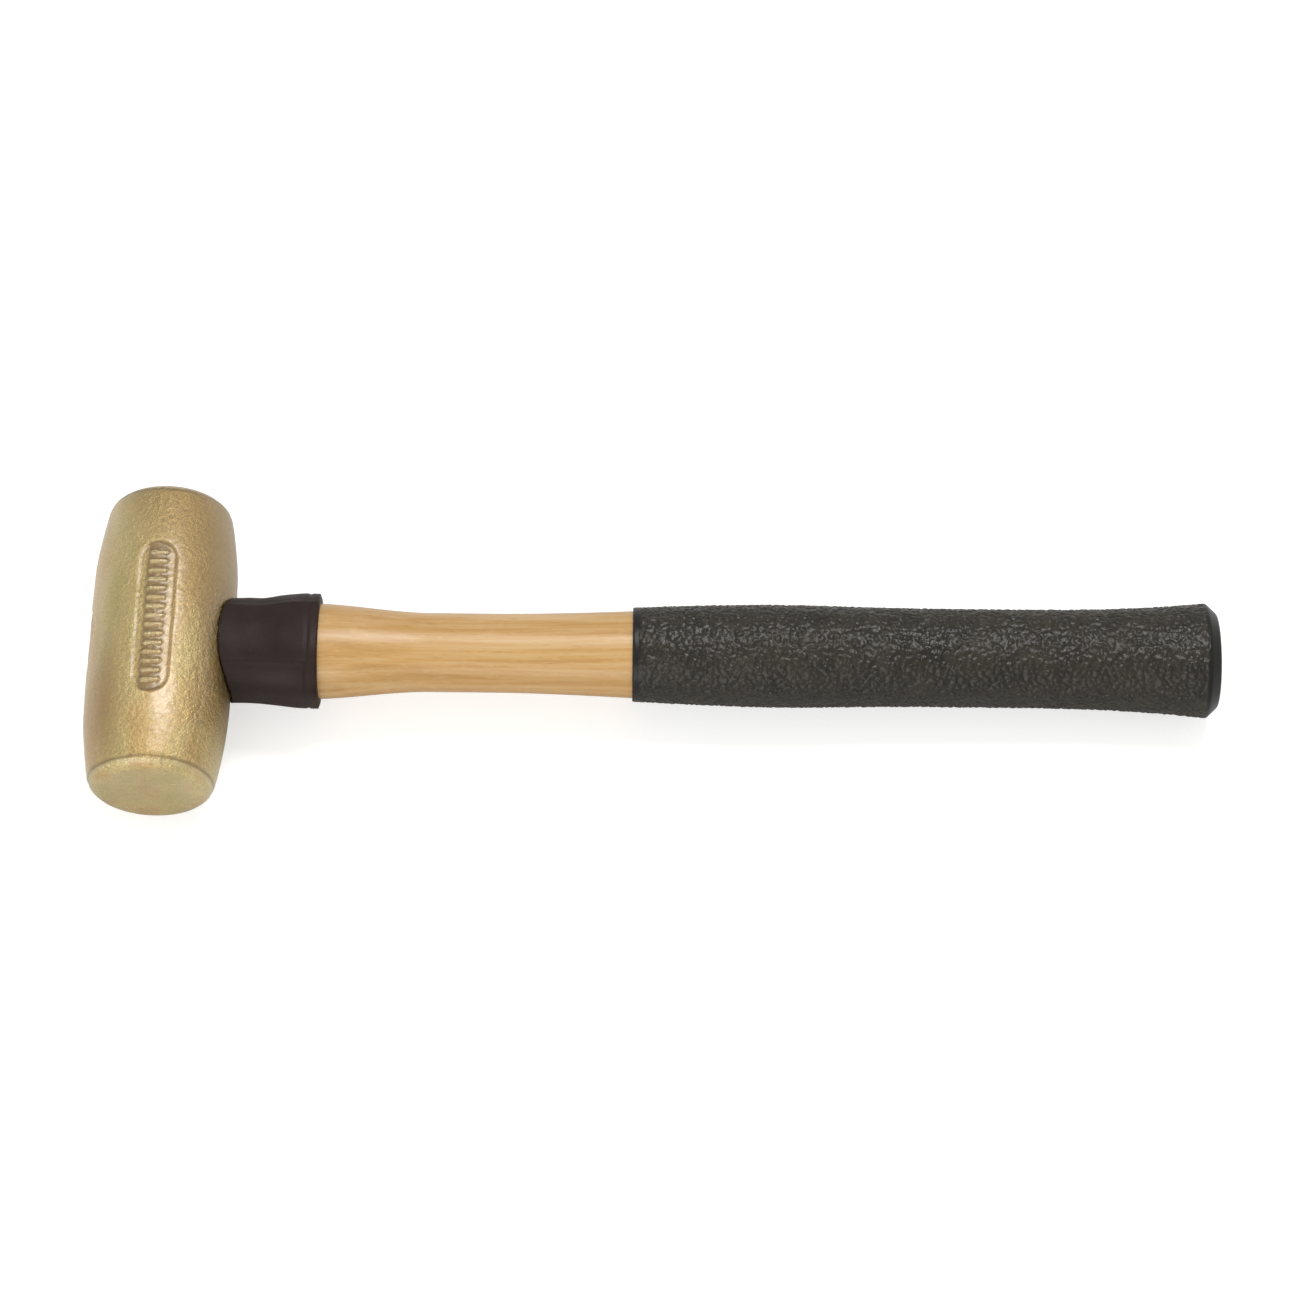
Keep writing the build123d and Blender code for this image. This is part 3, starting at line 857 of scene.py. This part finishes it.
def grip_rings():
    """Ovals a wall's thickness outside the wood, from the middle of the inner end, back along
    the wood, round the open edge, along the skin, over the chamfer and to the butt's middle.
    The skin is raised by the pebbles, which fade at the plain band and at the butt. Two masks
    go with it: raised places, with a painted highlight along the skin just before the chamfer,
    and plain places, whose dark tint on the chamfer is painted shade."""
    angle = np.linspace(0, 2 * np.pi, GRIP_STEPS, endpoint=False)
    inner_end = butt_at - GRIP_END_WALL + SLEEVE_GAP
    closing = wood_half(inner_end) * np.linspace(0.1, 1, 4)
    inner = np.linspace(ring_at, grip_at, 26)
    corner = np.linspace(0, np.pi / 2, 6)[:-1]
    skin_run = np.arange(grip_at + GRIP_EDGE_ROUND, ring_at - 1.0, GRIP_PITCH)
    # outline of the butt: the skin's end, the chamfer and the flat, rounded by averaging
    skin_half = wood_half(ring_at) + GRIP_COVER
    butt = np.array([
        [ring_at - 2.0, wood_half(ring_at - 2.0) + GRIP_COVER],
        [ring_at, skin_half],
        [butt_at, skin_half - BUTT_CHAMFER_DEPTH],
        [butt_at, 1.0],
    ])
    butt = even_steps(butt, 0.5, BUTT_EDGE_SOFTENING)
    butt = butt[butt[:, 0] > skin_run[-1] + 0.3]
    place = np.concatenate([
        np.full(len(closing), inner_end), inner, grip_at + GRIP_EDGE_ROUND * (1 - np.cos(corner)),
        skin_run, butt[:, 0],
    ])
    edge_half = wood_half(grip_at) + GRIP_COVER - GRIP_EDGE_ROUND + GRIP_EDGE_ROUND * np.sin(corner)
    half = np.concatenate([
        closing, wood_half(inner) + SLEEVE_GAP, edge_half, wood_half(skin_run) + GRIP_COVER, butt[:, 1],
    ])
    wood = np.concatenate([
        closing, wood_half(inner), np.full(len(corner), wood_half(grip_at)),
        wood_half(skin_run), butt[:, 1] - GRIP_COVER,
    ])
    strike_part = half[:, None] * np.cos(angle)
    upper_part = (wood[:, None] * OVAL + (half - wood)[:, None]) * np.sin(angle)
    rings = np.stack([place[:, None] + 0 * angle, strike_part, upper_part], -1)
    skin_from = len(closing) + len(inner) + len(corner)
    outside = np.zeros(len(place))
    outside[skin_from:] = 1
    band_end = grip_at + BAND_WIDTH
    fade = outside * ease(place, band_end - 0.8, band_end + 0.8)
    fade = fade * (1 - ease(place, ring_at - 1.6, ring_at - 0.2)) * ease(half, 3, 6)
    run = np.concatenate([[0], np.cumsum(np.hypot(np.diff(place), np.diff(half)))])
    run = run - run[skin_from]
    run = np.maximum(run[:, None] + uneven(rings, 6.0, 11) * 0.45, 0)
    girth = angle / (2 * np.pi) + uneven(rings, 5.0, 12) * 0.006
    cobble = pebbles(run, girth, PEBBLE_SIZE, 21)
    small = pebbles(run, girth, SMALL_PEBBLE_SIZE, 22)
    raised = ((1 - SMALL_PEBBLE_SHARE) * cobble + SMALL_PEBBLE_SHARE * small) * fade[:, None]
    lift = (raised - PEBBLES_SUNK * fade[:, None]) * PEBBLE_HEIGHT
    away = np.stack([0 * angle, np.cos(angle), np.sin(angle)], -1)
    # painted highlight: a thin light line on the skin just before the chamfer, given to the raised mask
    butt_edge_highlight = np.exp(-(((place - ring_at + BUTT_HIGHLIGHT_BEFORE_RING) / BUTT_HIGHLIGHT_WIDTH) ** 2)) * outside
    # plain places: the band at the open end, and the chamfer and the butt, where the dark plain tint is
    # painted shade
    plain = ((1 - fade) * outside * (1 - butt_edge_highlight))[:, None] + 0 * angle
    return rings + away * lift[..., None], np.maximum(raised, butt_edge_highlight[:, None]), plain


rings, raised, plain = grip_rings()
grip = skin("rubber_grip", rings, raised=raised, plain=plain, crease=80)
# the grip's own tint, its dust and painted highlight, and its plain tint, which is the band's dark brown
# and painted shade on the chamfer
grip_tints = (tint(25, 22, 17), tint(62, 55, 42), tint(12, 10, 8))
grip.data.materials.append(
    rubber_material("grip_rubber", grip_tints, 1500.0, 0.0001, (0.26, 0.36), 0.42, cobble=640.0)
)
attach(grip, "root")
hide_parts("grip")


# Floor, light and camera ------------------------------------------------------------------
# A pale bench that glows faintly, as a light table does, a soft light overhead, a little to the
# right, a weaker one from the front, and a long lens that looks down on the hammer.

SKY = 0.54
BENCH_HALF = 4.0
BENCH_LIFT = 0.6
CAMERA_TURN = (-28.94, 0.10, -0.62)
CAMERA_STAND_OFF = (159.67, -0.171, 1266.98)
LENS = 107.36
# each lamp's name, direction, distance, size and power
LAMPS = (
    ("key", (0.16, 0.36, 0.93), 1.5, (0.70, 0.46), 9.0),
    ("fill", (-0.45, -1.0, 0.55), 1.8, (1.4, 1.4), 10.5),
)


def studio():
    """The bench, the sky and the lights. The bench is lifted to white where it is seen, and
    lights the hammer only with what it reflects."""
    mesh = bpy.data.meshes.new("bench")
    corners = np.array([(-1, -1, 0), (1, -1, 0), (1, 1, 0), (-1, 1, 0)]) * BENCH_HALF
    mesh.from_pydata(corners, [], [(0, 1, 2, 3)])
    bench = bpy.data.objects.new("bench", mesh)
    bpy.context.scene.collection.objects.link(bench)
    material, tree, shader = finish(
        "bench_white", Base_Color=(0.75, 0.75, 0.745, 1), Roughness=0.9, Emission_Strength=BENCH_LIFT,
    )
    seen = node(tree, "ShaderNodeLightPath").outputs["Is Camera Ray"]
    glow = blend(tree, seen, (0.0, 0.0, 0.0, 1.0), (1.0, 1.0, 0.99, 1.0))
    tree.links.new(glow, shader.inputs["Emission Color"])
    mesh.materials.append(material)
    world = bpy.data.worlds.new("studio")
    world.use_nodes = True
    sky = world.node_tree.nodes["Background"].inputs
    sky["Color"].default_value = (1.0, 1.0, 1.0, 1)
    sky["Strength"].default_value = SKY
    bpy.context.scene.world = world
    for name, toward, distance, size, power in LAMPS:
        light = bpy.data.lights.new(name, "AREA")
        light.shape = "RECTANGLE"
        light.size, light.size_y = size
        light.energy = power
        lamp = bpy.data.objects.new(name, light)
        toward = np.array(toward) / np.linalg.norm(toward)
        lamp.location = toward * distance
        lamp.rotation_euler = (-np.arcsin(toward[1]), np.arctan2(toward[0], toward[2]), 0)
        bpy.context.scene.collection.objects.link(lamp)


def camera():
    """A long lens above the near strike face, a little towards the butt. It is turned from the
    hammer's axes by its tilt, its yaw and its roll, and stands off along its own axes."""
    tilt, yaw, roll = np.radians(CAMERA_TURN)
    turn = Matrix.Rotation(roll, 3, "Z") @ Matrix.Rotation(yaw, 3, "Y") @ Matrix.Rotation(tilt, 3, "X")
    axes = np.array(turn) @ hammer_axes
    lens = bpy.data.cameras.new("camera")
    lens.sensor_width = 36
    lens.lens = LENS
    lens.clip_end = 20
    placed = bpy.data.objects.new("camera", lens)
    matrix = np.eye(4)
    matrix[:3, :3] = axes.T
    matrix[:3, 3] = head_middle + np.array(CAMERA_STAND_OFF) * MM @ axes
    placed.matrix_world = Matrix(matrix.tolist())
    bpy.context.scene.collection.objects.link(placed)
    bpy.context.scene.camera = placed


studio()
camera()
bpy.context.scene.view_settings.view_transform = "Standard"
